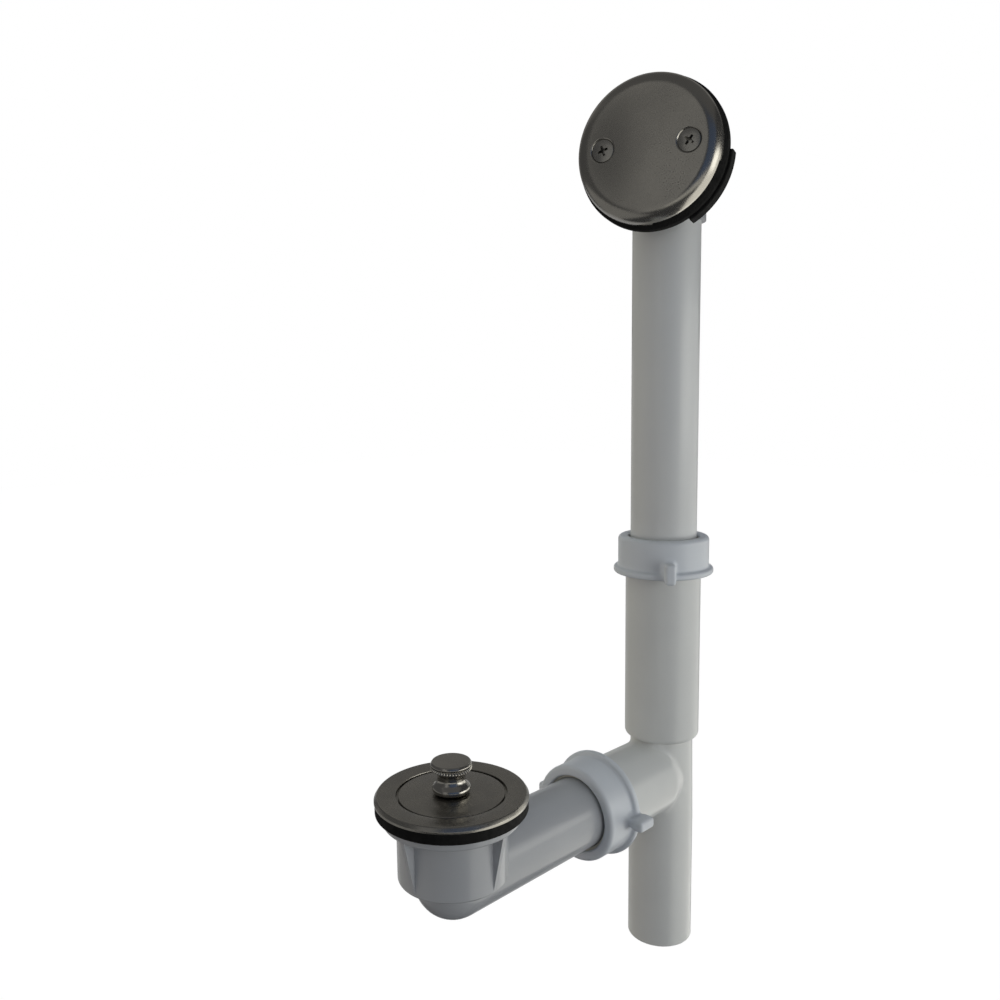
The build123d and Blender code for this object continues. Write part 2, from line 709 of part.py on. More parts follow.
PIECES = {
    "waste_shoe": waste_shoe,
    "drain_washer": drain_washer,
    "drain_strainer": drain_strainer,
    "stopper_post": stopper_post,
    "post_friction_ring": post_friction_ring,
    "post_clip": post_clip,
    "stopper_cam_sleeve": stopper_cam_sleeve,
    "stopper_cap": stopper_cap,
    "stopper_seal": stopper_seal,
    "stopper_knob": stopper_knob,
    "side_slip_washer": lambda: SIDE_JOINT * slip_washer(),
    "side_slip_nut": lambda: SIDE_JOINT * slip_nut(),
    "tee_body": tee_body,
    "upper_slip_washer": lambda: UPPER_JOINT * slip_washer(),
    "upper_slip_nut": lambda: UPPER_JOINT * slip_nut(),
    "riser_tube": riser_tube,
    "overflow_elbow": overflow_elbow,
    "elbow_insert_left": lambda: elbow_insert(-1),
    "elbow_insert_right": lambda: elbow_insert(1),
    "overflow_gasket": overflow_gasket,
    "overflow_faceplate": overflow_faceplate,
    "faceplate_screw_left": lambda: faceplate_screw(-1),
    "faceplate_screw_right": lambda: faceplate_screw(1),
}

os.makedirs("parts", exist_ok=True)
for name, make in PIECES.items():
    export_step(make(), f"parts/{name}.step")
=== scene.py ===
"""Look of a bath waste and overflow: detailed pieces, materials, light and camera.

Metres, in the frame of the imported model. Shapes are drawn in millimetres in their own axes
and placed by the boxes and mounts of the frame.
"""
import json
import math

import bmesh
import bpy
import numpy as np
import openvdb
from mathutils import Matrix, Vector
from mathutils.geometry import delaunay_2d_cdt


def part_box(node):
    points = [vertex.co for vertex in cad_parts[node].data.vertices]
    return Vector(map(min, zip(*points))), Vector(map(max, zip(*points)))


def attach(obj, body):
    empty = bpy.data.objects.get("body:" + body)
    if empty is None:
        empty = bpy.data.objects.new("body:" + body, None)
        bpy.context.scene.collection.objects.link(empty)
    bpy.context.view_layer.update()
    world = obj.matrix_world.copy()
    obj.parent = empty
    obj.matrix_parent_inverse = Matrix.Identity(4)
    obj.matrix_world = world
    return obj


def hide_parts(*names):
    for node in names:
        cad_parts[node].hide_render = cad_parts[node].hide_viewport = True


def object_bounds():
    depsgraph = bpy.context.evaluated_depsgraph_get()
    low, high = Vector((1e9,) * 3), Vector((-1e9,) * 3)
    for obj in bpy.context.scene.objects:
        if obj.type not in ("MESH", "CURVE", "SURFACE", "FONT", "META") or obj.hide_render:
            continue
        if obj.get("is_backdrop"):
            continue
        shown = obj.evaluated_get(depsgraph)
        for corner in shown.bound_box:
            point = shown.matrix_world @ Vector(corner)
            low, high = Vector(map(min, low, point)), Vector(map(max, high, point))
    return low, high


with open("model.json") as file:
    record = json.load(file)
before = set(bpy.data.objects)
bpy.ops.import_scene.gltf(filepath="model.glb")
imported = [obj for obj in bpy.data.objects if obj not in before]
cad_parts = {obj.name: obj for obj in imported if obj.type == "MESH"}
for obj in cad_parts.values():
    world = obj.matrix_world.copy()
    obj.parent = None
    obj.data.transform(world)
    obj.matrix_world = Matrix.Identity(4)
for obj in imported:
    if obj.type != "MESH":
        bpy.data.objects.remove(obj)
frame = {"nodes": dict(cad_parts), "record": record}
CAD_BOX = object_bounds()
MM = 0.001
TAU = 2 * math.pi


def middle(node):
    """Centre of a node's box, in metres."""
    low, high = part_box(node)
    return (Vector(low) + Vector(high)) / 2


def span(node, axis):
    """Lowest and highest value of a node along one axis, in millimetres."""
    low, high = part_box(node)
    return low[axis] / MM, high[axis] / MM


# Places and sizes that the frame gives
MOUNTS = {mount["name"]: mount for mount in frame["record"]["mounts"]}
TEE_AXIS = middle("riser_tube")
ARM_HEIGHT = middle("side_slip_washer").z
HEAD_SEAT = Vector(MOUNTS["tub_overflow_seat"]["pos_m"])
HEAD_NORMAL = Vector(MOUNTS["tub_overflow_seat"]["axis"]).normalized()
HEAD_RIGHT = Vector((0, 0, 1)).cross(HEAD_NORMAL).normalized()
TUBE_R = MOUNTS["waste_outlet"]["dims"]["r_mm"]

# Tube and slip nut, in millimetres
TUBE_WALL = 2.0
WING_BELOW = 0.8
WING_ABOVE = 10.6
WING_TURN = 42.0
WING_WIDTH = 5.6
WING_REACH = 37.0
WING_START = 20.0
WING_STEM = 0.36 * WING_WIDTH
WING_ROOT = 0.55 * WING_WIDTH
NUT_HEIGHT = 21.8
NUT_BAND_R = 26.2
NUT_BAND_LOW = -6.0
NUT_BAND_ROUND = 2.3
NUT_FLANGE_R = 28.8
NUT_FLANGE_T = 3.8
NUT_FLANGE_ROUND = 1.5
NUT_OPENING_R = 20.6
NUT_OPENING_ROUND = 1.4
NUT_THREAD_R = 23.7
NUT_THREAD_PITCH = 3.0
NUT_THREAD_DEPTH = 0.25
NUT_LIP_T = 2.2
FIELD_STEP = 0.42
FIELD_MARGIN = 1.5
FAR = 1e3

# Faceplate and its screws, in millimetres
PLATE_R = 38.7
PLATE_DEPTH = 9.0
PLATE_BEND = 7.0
PLATE_CROWN = 0.8
PLATE_SHEET = 0.9
PLATE_MESH = 0.8
PLATE_BEND_MESH = 0.5
PLATE_COLUMNS = 360
DIMPLE_SLOPE = 1.3
DIMPLE_ROLL = 0.3
DIMPLE_COLUMNS = 96
SCREW_X = 23.0
SCREW_TOP = 8.7
SCREW_HEAD_R = 6.1
SCREW_CROWN_R = 5.85
SCREW_HEAD_H = 3.4
SCREW_R = 3.0
SCREW_LENGTH = 29.0
SCREW_GAP = 0.4
SCREW_CORE_R = SCREW_R - 0.3
SCREW_PITCH = 0.8
SCREW_TURNS = {-1: 20.0, 1: 52.0}
RECESS_ROWS = ((0.5, 3.0, 0.75), (-1.6, 1.9, 0.55), (-2.6, 0.7, 0.5))
SLOT_RANGE = (-85.0, -15.0)
SLOT_DEPTH = 2.6
NOTCH_RANGE = (-98.0, -94.0)
NOTCH_DEPTH = 1.6

# Gasket, in millimetres
GASKET_R = 40.4
GASKET_FACE_R = 37.8
GASKET_SHOULDER = -3.2
GASKET_T = 8.0
GASKET_BORE_R = 19.0
GASKET_LIP_R = 42.0
GASKET_LIP_INNER = 35.4
GASKET_LIP_DEPTH = 6.0
GASKET_LIP_LAP = 2.0
GASKET_LIP_RANGE = (-60.0, -3.0)

# Drain flange and stopper, in millimetres
DRAIN_R = 36.5
DRAIN_T = 2.2
RIM_LAP = 0.8
RIM_T = 0.5
STRAINER_BORE_R = 19.6
STRAINER_R = 23.4
STRAINER_LOW = -24.0
STRAINER_LEDGE_R = 21.2
BAR_HALF = 2.0
BAR_HEIGHT = 5.0
BOSS_R = 7.5
BOSS_BORE_R = 4.75
CAP_R = 25.1
CAP_GROOVE = 1.1
CAP_Z = 0.8
CAP_TOP = 1.9
CAP_HUB_R = 9.0
CAP_HUB_BORE_R = 6.3
CAP_HUB_LOW = -15.5
CAP_HUB_CEILING = -0.8
KNOB_HEIGHT = 15.3
KNOB_STUD_R = 2.4
KNOB_STUD_DEPTH = 2.7
KNOB_RIM_R = 9.75
KNOB_SHAPE = (
    (6.7, 0.0), (7.9, 0.35), (8.9, 1.2), (9.25, 2.3), (9.05, 3.2), (8.3, 4.2), (7.35, 5.3),
    (6.75, 6.4), (6.6, 7.5), (6.75, 8.7), (7.4, 9.8), (8.5, 10.7), (9.4, 11.5),
)
KNURLS = 44
KNURL_DEPTH = 0.9
KNURL_COLUMNS = 8

# Camera: place in metres, turns in degrees, lens and sensor in millimetres
CAMERA_PLACE = Vector((0.30726, -0.26805, 0.19286))
CAMERA_AZIMUTH = 45.46
CAMERA_PITCH = 7.41
CAMERA_ROLL = -0.72
CAMERA_LENS = 32.76
SENSOR = 36.0
CAMERA_NEAR = 0.01

# Soft lights that shine on the object: turn and rise in degrees, watts, colour
LIGHT_CENTRE = Vector((0, 0.1, 0.1))
LIGHT_DISTANCE = 1.5
LIGHT_SIZE = 1.2
LIGHTS = (
    ("right", 0, 0, 4.3, (0.96, 1.0, 0.99)),
    ("window", 45, 0, 8.2, (0.98, 1.0, 0.97)),
    ("front_left", 135, 0, 1.5, (0.97, 1.0, 1.0)),
    ("left", 180, 0, 4.5, (1.0, 0.91, 0.82)),
    ("rear_left", 225, 0, 2.3, (0.95, 1.0, 0.82)),
    ("top_rear", 270, 45, 5.0, (0.87, 0.92, 1.0)),
    ("top_front", 90, 45, 1.4, (0.7, 0.8, 1.0)),
    ("top_left", 180, 45, 2.7, (0.95, 1.0, 0.82)),
    ("floor_bounce", 0, -90, 1.1, (0.85, 0.9, 1.0)),
)

# What gloss reflects of the room: turn and rise in degrees, distance, width and height in
# metres, radiance, colour. An area light of w by h metres has a radiance of watts / (4 w h).
ROOM = (
    ("table", 4, -22, 1.5, 2.9, 2.1, 0.95, (1.0, 0.98, 0.90)),
    ("table_front", 86, -13, 1.6, 1.9, 0.55, 0.4, (1.0, 0.98, 0.90)),
    ("window_low", 22, 8, 1.0, 0.7, 0.4, 1.1, (1.0, 0.99, 0.93)),
    ("backdrop", 280, -24, 1.5, 3.2, 1.8, 0.3, (1.0, 1.0, 1.0)),
    ("wall_face", 126, 12, 1.5, 0.6, 1.5, 0.2, (1.0, 0.98, 0.93)),
    ("dusk", 75, 20, 1.5, 1.5, 1.2, 0.09, (0.2, 0.45, 1.0)),
    ("wall_left", 196, 22, 1.5, 3.4, 1.7, 0.035, (1.0, 0.97, 0.92)),
    ("left_low", 180, -25, 1.5, 2.4, 1.6, 0.17, (1.0, 0.98, 0.93)),
    ("ceiling", 180, 88, 1.5, 3.2, 3.2, 0.055, (1.0, 0.97, 0.92)),
    ("ceiling_rear", 270, 36, 1.5, 2.4, 1.5, 0.095, (1.0, 0.96, 0.88)),
)

# World and floor: colour that gloss meets beyond the lights, half width in millimetres, gap
# under the part in metres
ROOM_COLOUR = (0.054, 0.055, 0.058)
FLOOR_HALF = 3000
FLOOR_GAP = 0.0005


def axes_place(origin, right, up, out):
    """Matrix that puts a piece drawn in its own axes at a place in the frame."""
    turn = Matrix((right, up, out)).transposed().to_4x4()
    return Matrix.Translation(origin) @ turn


HEAD_PLACE = axes_place(HEAD_SEAT, HEAD_RIGHT, HEAD_NORMAL.cross(HEAD_RIGHT), HEAD_NORMAL)
SIDE_FACE = span("side_slip_nut", 1)[1] - WING_BELOW
SIDE_NUT_PLACE = (
    Matrix.Translation((0, SIDE_FACE * MM, ARM_HEIGHT)) @ Matrix.Rotation(math.pi / 2, 4, "X")
)
UPPER_FACE = span("upper_slip_nut", 2)[0] + WING_BELOW
UPPER_NUT_PLACE = (
    Matrix.Translation((TEE_AXIS.x, TEE_AXIS.y, UPPER_FACE * MM))
    @ Matrix.Rotation(math.radians(WING_TURN - 90), 4, "Z")
)
TEE_PLACE = Matrix.Translation((TEE_AXIS.x, TEE_AXIS.y, 0))
DRAIN_PLACE = Matrix.Identity(4)
UNPLACED = Matrix.Identity(4)


# Mesh tools
def put(piece, place):
    """Place a piece: the turn goes into its mesh, the shift into the object."""
    piece.data.transform(place.to_3x3().to_4x4())
    piece.matrix_world = Matrix.Translation(place.to_translation())


def finished(name, bm, place, sharp=30.0):
    """Object of a bmesh drawn in millimetres, smooth but for edges sharper than the angle."""
    bmesh.ops.remove_doubles(bm, verts=bm.verts, dist=1e-4)
    bmesh.ops.recalc_face_normals(bm, faces=bm.faces)
    bmesh.ops.scale(bm, vec=(MM, MM, MM), verts=bm.verts)
    mesh = bpy.data.meshes.new(name)
    bm.to_mesh(mesh)
    bm.free()
    mesh.shade_smooth()
    mesh.set_sharp_from_angle(angle=math.radians(sharp))
    piece = bpy.data.objects.new(name, mesh)
    put(piece, place)
    bpy.context.scene.collection.objects.link(piece)
    return piece


def rounded(*corners, steps=6):
    """Outline through (x, y, rounding) corners, each rounded by an arc of its own radius."""
    outline = []
    count = len(corners)
    for index, (x, y, radius) in enumerate(corners):
        here = Vector((x, y))
        back = (Vector(corners[index - 1][:2]) - here).normalized()
        ahead = (Vector(corners[(index + 1) % count][:2]) - here).normalized()
        half = back.angle(ahead) / 2
        if radius == 0 or half > math.radians(89):
            outline.append((x, y))
            continue
        centre = here + (back + ahead).normalized() * (radius / math.sin(half))
        start = here + back * (radius / math.tan(half)) - centre
        end = here + ahead * (radius / math.tan(half)) - centre
        turn = math.atan2(start.x * end.y - start.y * end.x, start.dot(end))
        for step in range(steps + 1):
            angle = turn * step / steps
            arm = Vector((
                start.x * math.cos(angle) - start.y * math.sin(angle),
                start.x * math.sin(angle) + start.y * math.cos(angle),
            ))
            outline.append(tuple(centre + arm))
    return outline


def turned(bm, outline, segments=128, shape=None, start=0.0, stop=TAU):
    """Add an outline of (radius, height) points turned about Z; shape may move each point."""
    whole = abs(stop - start - TAU) < 1e-6
    columns = segments if whole else segments + 1
    rings = []
    for radius, height in outline:
        if radius < 1e-6:
            rings.append([bm.verts.new((0, 0, height))])
            continue
        ring = []
        for column in range(columns):
            angle = start + (stop - start) * column / segments
            r, z = shape(radius, height, angle) if shape else (radius, height)
            ring.append(bm.verts.new((r * math.cos(angle), r * math.sin(angle), z)))
        rings.append(ring)
    for index, ring in enumerate(rings):
        other = rings[(index + 1) % len(rings)]
        if len(ring) == 1 and len(other) == 1:
            continue
        for column in range(segments):
            following = (column + 1) % columns
            corners = [ring[column % len(ring)], ring[following % len(ring)]]
            corners += [other[following % len(other)], other[column % len(other)]]
            bm.faces.new(list(dict.fromkeys(corners)))
    if not whole:
        bm.faces.new([ring[0] for ring in rings])
        bm.faces.new([ring[-1] for ring in rings])


def lathe(name, outline, place, segments=128, shape=None, sharp=30.0):
    """Piece turned about its own Z axis."""
    bm = bmesh.new()
    turned(bm, outline, segments, shape)
    return finished(name, bm, place, sharp)


def block(bm, low, high, rounding):
    """Add a box between two corners, its edges rounded."""
    made = bmesh.ops.create_cube(bm, size=1.0)["verts"]
    size = Vector(high) - Vector(low)
    centre = (Vector(high) + Vector(low)) / 2
    bmesh.ops.scale(bm, vec=size, verts=made)
    bmesh.ops.translate(bm, vec=centre, verts=made)
    edges = list({edge for vert in made for edge in vert.link_edges})
    bmesh.ops.bevel(bm, geom=edges, offset=rounding, segments=3, affect="EDGES", profile=0.5)


def field_piece(name, low, high, step, field, place):
    """Piece whose surface is where a distance field, in millimetres, is zero."""
    axes = [np.arange(a, b + step, step, dtype=np.float32) for a, b in zip(low, high)]
    values = field(*np.meshgrid(*axes, indexing="ij"))
    grid = openvdb.FloatGrid()
    grid.copyFromArray(values.astype(np.float32))
    points, triangles, quads = grid.convertToPolygons(isovalue=0.0)
    points = points * step + np.array([axis[0] for axis in axes])
    mesh = bpy.data.meshes.new(name)
    faces = [tuple(face) for face in quads.tolist() + triangles.tolist()]
    mesh.from_pydata(points.tolist(), [], faces)
    bm = bmesh.new()
    bm.from_mesh(mesh)
    bpy.data.meshes.remove(mesh)
    return finished(name, bm, place, 180.0)


def joined(a, b, blend):
    """Union of two distance fields with a soft crease."""
    h = np.clip(0.5 + 0.5 * (b - a) / blend, 0, 1)
    return b * (1 - h) + a * h - blend * h * (1 - h)


def carved(a, b, blend):
    """Distance field a without b, with a soft edge."""
    return -joined(-a, b, blend)


def brick(x, y, z, low, high, rounding):
    """Distance field of a box with rounded edges."""
    centre = [(a + b) / 2 for a, b in zip(low, high)]
    half = [(b - a) / 2 - rounding for a, b in zip(low, high)]
    gaps = [np.abs(v - c) - h for v, c, h in zip((x, y, z), centre, half)]
    outside = np.sqrt(sum(np.maximum(gap, 0) ** 2 for gap in gaps))
    inside = np.minimum(np.maximum(np.maximum(gaps[0], gaps[1]), gaps[2]), 0)
    return outside + inside - rounding


def drum(radius, low, high, rounding, r, z):
    """Distance field of a round bar with rounded rims, from radius and height."""
    dr = r - (radius - rounding)
    dz = np.abs(z - (low + high) / 2) - ((high - low) / 2 - rounding)
    outside = np.sqrt(np.maximum(dr, 0) ** 2 + np.maximum(dz, 0) ** 2)
    return outside + np.minimum(np.maximum(dr, dz), 0) - rounding


# Pieces
def nut_field(x, y, z):
    """Winged nut: band, flange ring, two paddles and the stepped bore."""
    r = np.sqrt(x * x + y * y)
    body = drum(NUT_BAND_R, NUT_BAND_LOW, NUT_HEIGHT, NUT_BAND_ROUND, r, z)
    flange = drum(NUT_FLANGE_R, 0.0, NUT_FLANGE_T, NUT_FLANGE_ROUND, r, z)
    body = np.maximum(joined(body, flange, 1.6), -z)
    side = np.abs(x)
    stem_low = (WING_START, -WING_STEM, 0.3)
    stem = brick(side, y, z, stem_low, (WING_REACH - 2, WING_STEM, WING_ABOVE - 0.7), 1.2)
    tip_low = (NUT_FLANGE_R + 1.2, -WING_WIDTH / 2, -WING_BELOW)
    tip = brick(side, y, z, tip_low, (WING_REACH, WING_WIDTH / 2, WING_ABOVE), 1.6)
    root_low = (WING_START, -WING_ROOT, 0.5)
    root = brick(side, y, z, root_low, (NUT_BAND_R + 0.6, WING_ROOT, WING_ABOVE - 1), 1.0)
    wing = joined(joined(stem, tip, 2.5), root, 3.0)
    nut = joined(body, wing, 2.2)
    nut = np.maximum(nut, np.where(r < NUT_FLANGE_R - 1, -z, -FAR))
    nut = carved(nut, r - NUT_OPENING_R, NUT_OPENING_ROUND)
    turns = z / NUT_THREAD_PITCH - np.arctan2(y, x) / TAU
    thread = NUT_THREAD_R + NUT_THREAD_DEPTH * np.sin(TAU * turns)
    return np.maximum(nut, -np.maximum(r - thread, z - (NUT_HEIGHT - NUT_LIP_T)))


def slip_nut(name, place):
    """One winged slip nut."""
    reach = WING_REACH + FIELD_MARGIN
    wide = NUT_FLANGE_R + FIELD_MARGIN
    low = (-reach, -wide, -WING_BELOW - FIELD_MARGIN)
    high = (reach, wide, NUT_HEIGHT + FIELD_MARGIN)
    return field_piece(name, low, high, FIELD_STEP, nut_field, place)


def riser():
    """Drawn overflow tube."""
    low, high = span("riser_tube", 2)
    inner = TUBE_R - TUBE_WALL
    outline = rounded(
        (inner, low, 0.3), (TUBE_R, low, 0.5), (TUBE_R, high, 0.3), (inner, high, 0.3), steps=3)
    return lathe("riser", outline, TEE_PLACE, 160)


def dome_point(u, angle):
    """Point of the faceplate's front, u millimetres along the sheet from its centre."""
    flat = PLATE_R - PLATE_BEND
    bend = (u - flat) / PLATE_BEND
    if u <= flat:
        crown = PLATE_CROWN * (1 - (u / flat) ** 2) ** 2
        return u * math.cos(angle), u * math.sin(angle), PLATE_DEPTH + crown
    if bend < math.pi / 2:
        r = flat + PLATE_BEND * math.sin(bend)
        z = PLATE_DEPTH - PLATE_BEND * (1 - math.cos(bend))
    else:
        r = PLATE_R
        z = PLATE_DEPTH - PLATE_BEND - (bend - math.pi / 2) * PLATE_BEND
    return r * math.cos(angle), r * math.sin(angle), z


def dimple(distance):
    """How deep the sheet lies at a distance from a screw's axis."""
    lip = SCREW_HEAD_R + SCREW_GAP
    if distance >= lip + DIMPLE_ROLL:
        return 0.0
    if distance > lip - DIMPLE_ROLL:
        part = (lip + DIMPLE_ROLL - distance) / (2 * DIMPLE_ROLL)
        return DIMPLE_ROLL * part * part * DIMPLE_SLOPE
    return (lip - distance) * DIMPLE_SLOPE


def cut_depth(degrees):
    """How far the faceplate's edge is cut back by its slot and its notch."""
    cut = 0.0
    for (first, last), depth in ((SLOT_RANGE, SLOT_DEPTH), (NOTCH_RANGE, NOTCH_DEPTH)):
        past = (degrees - first) % 360
        inside = min(past, last - first - past) if past <= last - first else -1
        cut = max(cut, depth * min(max((inside + 0.3) / 0.6, 0), 1))
    return cut


def faceplate():
    """Pressed faceplate, laid out flat, cut to its outline and lifted to the dome."""
    flat = PLATE_R - PLATE_BEND
    total = flat + PLATE_BEND * math.pi / 2 + (PLATE_DEPTH - PLATE_BEND)
    points, edges = [], []
    rim_columns = 2 * PLATE_COLUMNS
    for step in range(rim_columns):
        degrees = 360 * step / rim_columns
        u = total - cut_depth(degrees)
        angle = math.radians(degrees)
        points.append((u * math.cos(angle), u * math.sin(angle)))
        edges.append((step, (step + 1) % rim_columns))
    screws = [(-SCREW_X, 0.0), (SCREW_X, 0.0)]
    hole = SCREW_R + SCREW_GAP
    lip = SCREW_HEAD_R + SCREW_GAP
    radii = [hole, hole + 1.1, lip - 1.2, lip - 0.6]
    radii += [lip + 0.1 * step for step in range(-3, 4)] + [lip + 0.6, lip + 1.3]
    for sx, sy in screws:
        for radius in radii:
            first = len(points)
            for step in range(DIMPLE_COLUMNS):
                angle = TAU * step / DIMPLE_COLUMNS
                points.append((sx + radius * math.cos(angle), sy + radius * math.sin(angle)))
                edges.append((first + step, first + (step + 1) % DIMPLE_COLUMNS))
    u = 1.0
    row = 0
    while u < total - 0.3:
        count = max(12, int(TAU * u / PLATE_MESH)) if u < flat else PLATE_COLUMNS
        for step in range(count):
            angle = TAU * (step + 0.5 * (row % 2)) / count
            spot = (u * math.cos(angle), u * math.sin(angle))
            away = min(math.dist(spot, screw) for screw in screws)
            edge = total - cut_depth(math.degrees(angle))
            if away > lip + 1.9 and u < edge - 0.35:
                points.append(spot)
        u += PLATE_MESH if u < flat else PLATE_BEND_MESH
        row += 1
    spots, _, faces, _, _, _ = delaunay_2d_cdt([Vector(p) for p in points], edges, [], 1, 1e-5)
    bm = bmesh.new()
    verts = []
    for spot in spots:
        x, y, z = dome_point(spot.length, math.atan2(spot.y, spot.x))
        away = min(math.dist(spot, screw) for screw in screws)
        verts.append(bm.verts.new((x, y, z - dimple(away))))
    for face in faces:
        centre = sum((spots[i] for i in face), Vector((0, 0))) / len(face)
        if min(math.dist(centre, screw) for screw in screws) > hole:
            bm.faces.new([verts[i] for i in face])
    plate = finished("faceplate", bm, HEAD_PLACE, 180.0)
    shell = plate.modifiers.new("sheet", "SOLIDIFY")
    shell.thickness = PLATE_SHEET * MM
    shell.offset = -1
    return plate


def cross_cutter():
    """Tapered cross that leaves the screw's driver recess."""
    bm = bmesh.new()
    rows = []
    for rise, reach, half in RECESS_ROWS:
        ring = []
        corner, narrow = half * 1.5, half * 0.8
        for quarter in range(4):
            turn = Matrix.Rotation(quarter * math.pi / 2, 2)
            for x, y in ((corner, -half), (reach, -narrow), (reach, narrow), (corner, half)):
                spot = turn @ Vector((x, y))
                ring.append(bm.verts.new((spot.x, spot.y, SCREW_TOP + rise)))
        rows.append(ring)
    for upper, lower in zip(rows, rows[1:]):
        for index in range(len(upper)):
            after = (index + 1) % len(upper)
            bm.faces.new((upper[index], upper[after], lower[after], lower[index]))
    bm.faces.new(rows[0])
    bm.faces.new(rows[-1])
    return finished("cross_cutter", bm, UNPLACED)


def cut_away(piece, cutter):
    """Carve the cutter out of the piece for good and throw the cutter away."""
    cut = piece.modifiers.new("cut", "BOOLEAN")
    cut.object = cutter
    cut.operation = "DIFFERENCE"
    cut.solver = "EXACT"
    graph = bpy.context.evaluated_depsgraph_get()
    mesh = bpy.data.meshes.new_from_object(piece.evaluated_get(graph))
    piece.modifiers.remove(cut)
    piece.data = mesh
    bpy.data.objects.remove(cutter)


def screw(name, side):
    """Flat-head screw with a cross recess and a cut thread."""
    foot = SCREW_TOP - SCREW_LENGTH
    neck = SCREW_TOP - SCREW_HEAD_H
    outline = [(0, foot), (SCREW_R - 0.9, foot), (SCREW_CORE_R, foot + 0.7)]
    for turn in range(int((neck - 4 - foot) / SCREW_PITCH)):
        base = foot + 0.8 + turn * SCREW_PITCH
        outline += [(SCREW_R - 0.45, base), (SCREW_R, base + SCREW_PITCH / 2)]
    outline += [(SCREW_CORE_R, neck - 2.0), (SCREW_CORE_R, neck)]
    outline += rounded(
        (SCREW_CORE_R, neck, 0), (SCREW_CROWN_R, SCREW_TOP - 0.4, 0.15),
        (SCREW_CROWN_R, SCREW_TOP, 0.2), (0, SCREW_TOP + 0.12, 0), (0, neck, 0), steps=3)[1:-1]
    piece = lathe(name, outline, UNPLACED, 96)
    cut_away(piece, cross_cutter())
    piece.data.set_sharp_from_angle(angle=math.radians(30))
    turn = Matrix.Rotation(math.radians(SCREW_TURNS[side]), 4, "Z")
    put(piece, HEAD_PLACE @ Matrix.Translation((side * SCREW_X * MM, 0, 0)) @ turn)
    return piece


def gasket():
    """Foam gasket: a soft ring that widens to the rear, with its deeper lip."""
    bm = bmesh.new()
    pad = rounded(
        (GASKET_BORE_R, 0, 0.8), (GASKET_FACE_R, 0, 1.2), (GASKET_R, GASKET_SHOULDER, 2.0),
        (GASKET_R, -GASKET_T, 0.8), (GASKET_BORE_R, -GASKET_T, 0.8))
    turned(bm, pad, 200)
    low = -GASKET_T - GASKET_LIP_DEPTH
    high = -GASKET_T + GASKET_LIP_LAP
    lip = rounded(
        (GASKET_LIP_INNER, low, 0.5), (GASKET_LIP_R, low, 1.0), (GASKET_LIP_R, high, 0.8),
        (GASKET_LIP_INNER, high, 0.3))
    first, last = (math.radians(a) for a in GASKET_LIP_RANGE)
    turned(bm, lip, 60, None, first, last)
    return finished("gasket", bm, HEAD_PLACE, 40.0)


def drain_flange():
    """Drain body, drawn plain without its thread, with its dished flange and cross bars."""
    bm = bmesh.new()
    bore, thread, low = STRAINER_BORE_R, STRAINER_R, STRAINER_LOW
    groove = CAP_R + CAP_GROOVE
    outline = rounded(
        (bore, low, 0.4), (thread - 0.8, low, 0.4), (thread, low + 1, 0.2), (thread, 0, 0),
        (DRAIN_R - RIM_T, 0, 0), (DRAIN_R - RIM_T, -RIM_LAP, 0.1), (DRAIN_R, -RIM_LAP, 0.2),
        (DRAIN_R, 0.3, 0.6), (DRAIN_R - 1.2, DRAIN_T - 0.05, 1.0), (30.5, DRAIN_T - 0.25, 6.0),
        (groove + 0.1, DRAIN_T - 0.5, 0.1), (groove, DRAIN_T - 0.9, 0.1), (groove, 0.15, 0.15),
        (CAP_R - 1.0, 0.15, 0.1), (CAP_R - 1.4, 0.5, 0.1), (STRAINER_LEDGE_R, 0.5, 0.5),
        (bore, -1.4, 0.5), steps=5)
    turned(bm, outline, 192)
    reach = bore + 0.6
    for along, across in ((reach, BAR_HALF), (BAR_HALF, reach)):
        block(bm, (-along, -across, low), (along, across, low + BAR_HEIGHT), 0.6)
    foot, head = low - 0.02, low + BAR_HEIGHT + 0.02
    boss = rounded(
        (BOSS_BORE_R, foot, 0.3), (BOSS_R, foot, 0.4), (BOSS_R, head, 0.4), (BOSS_BORE_R, head, 0.3))
    turned(bm, boss, 64)
    return finished("drain_flange", bm, DRAIN_PLACE, 35.0)


def cap():
    """Crowned stopper cap on its hub."""
    outline = rounded(
        (0, CAP_HUB_CEILING, 0), (CAP_HUB_BORE_R, CAP_HUB_CEILING, 0.3),
        (CAP_HUB_BORE_R, CAP_HUB_LOW, 0.3), (CAP_HUB_R, CAP_HUB_LOW, 0.5), (CAP_HUB_R, CAP_Z, 0.3),
        (CAP_R, CAP_Z, 0.1), (CAP_R, CAP_Z + 0.62, 0.25), (CAP_R * 0.55, CAP_TOP - 0.12, 12.0),
        (0, CAP_TOP, 0), steps=6)
    return lathe("stopper_disc", outline, DRAIN_PLACE, 160, None, 35.0)


def flowing(points, steps=5):
    """Smooth curve through points, given as (radius, height)."""
    spots = [Vector(p) for p in points]
    spots = [2 * spots[0] - spots[1]] + spots + [2 * spots[-1] - spots[-2]]
    curve = []
    for a, b, c, d in zip(spots, spots[1:], spots[2:], spots[3:]):
        for step in range(steps):
            t = step / steps
            square, cube = 2 * a - 5 * b + 4 * c - d, 3 * b - a - 3 * c + d
            spot = 2 * b + (c - a) * t + square * t * t + cube * t ** 3
            curve.append(tuple(spot / 2))
    return curve + [tuple(spots[-2])]


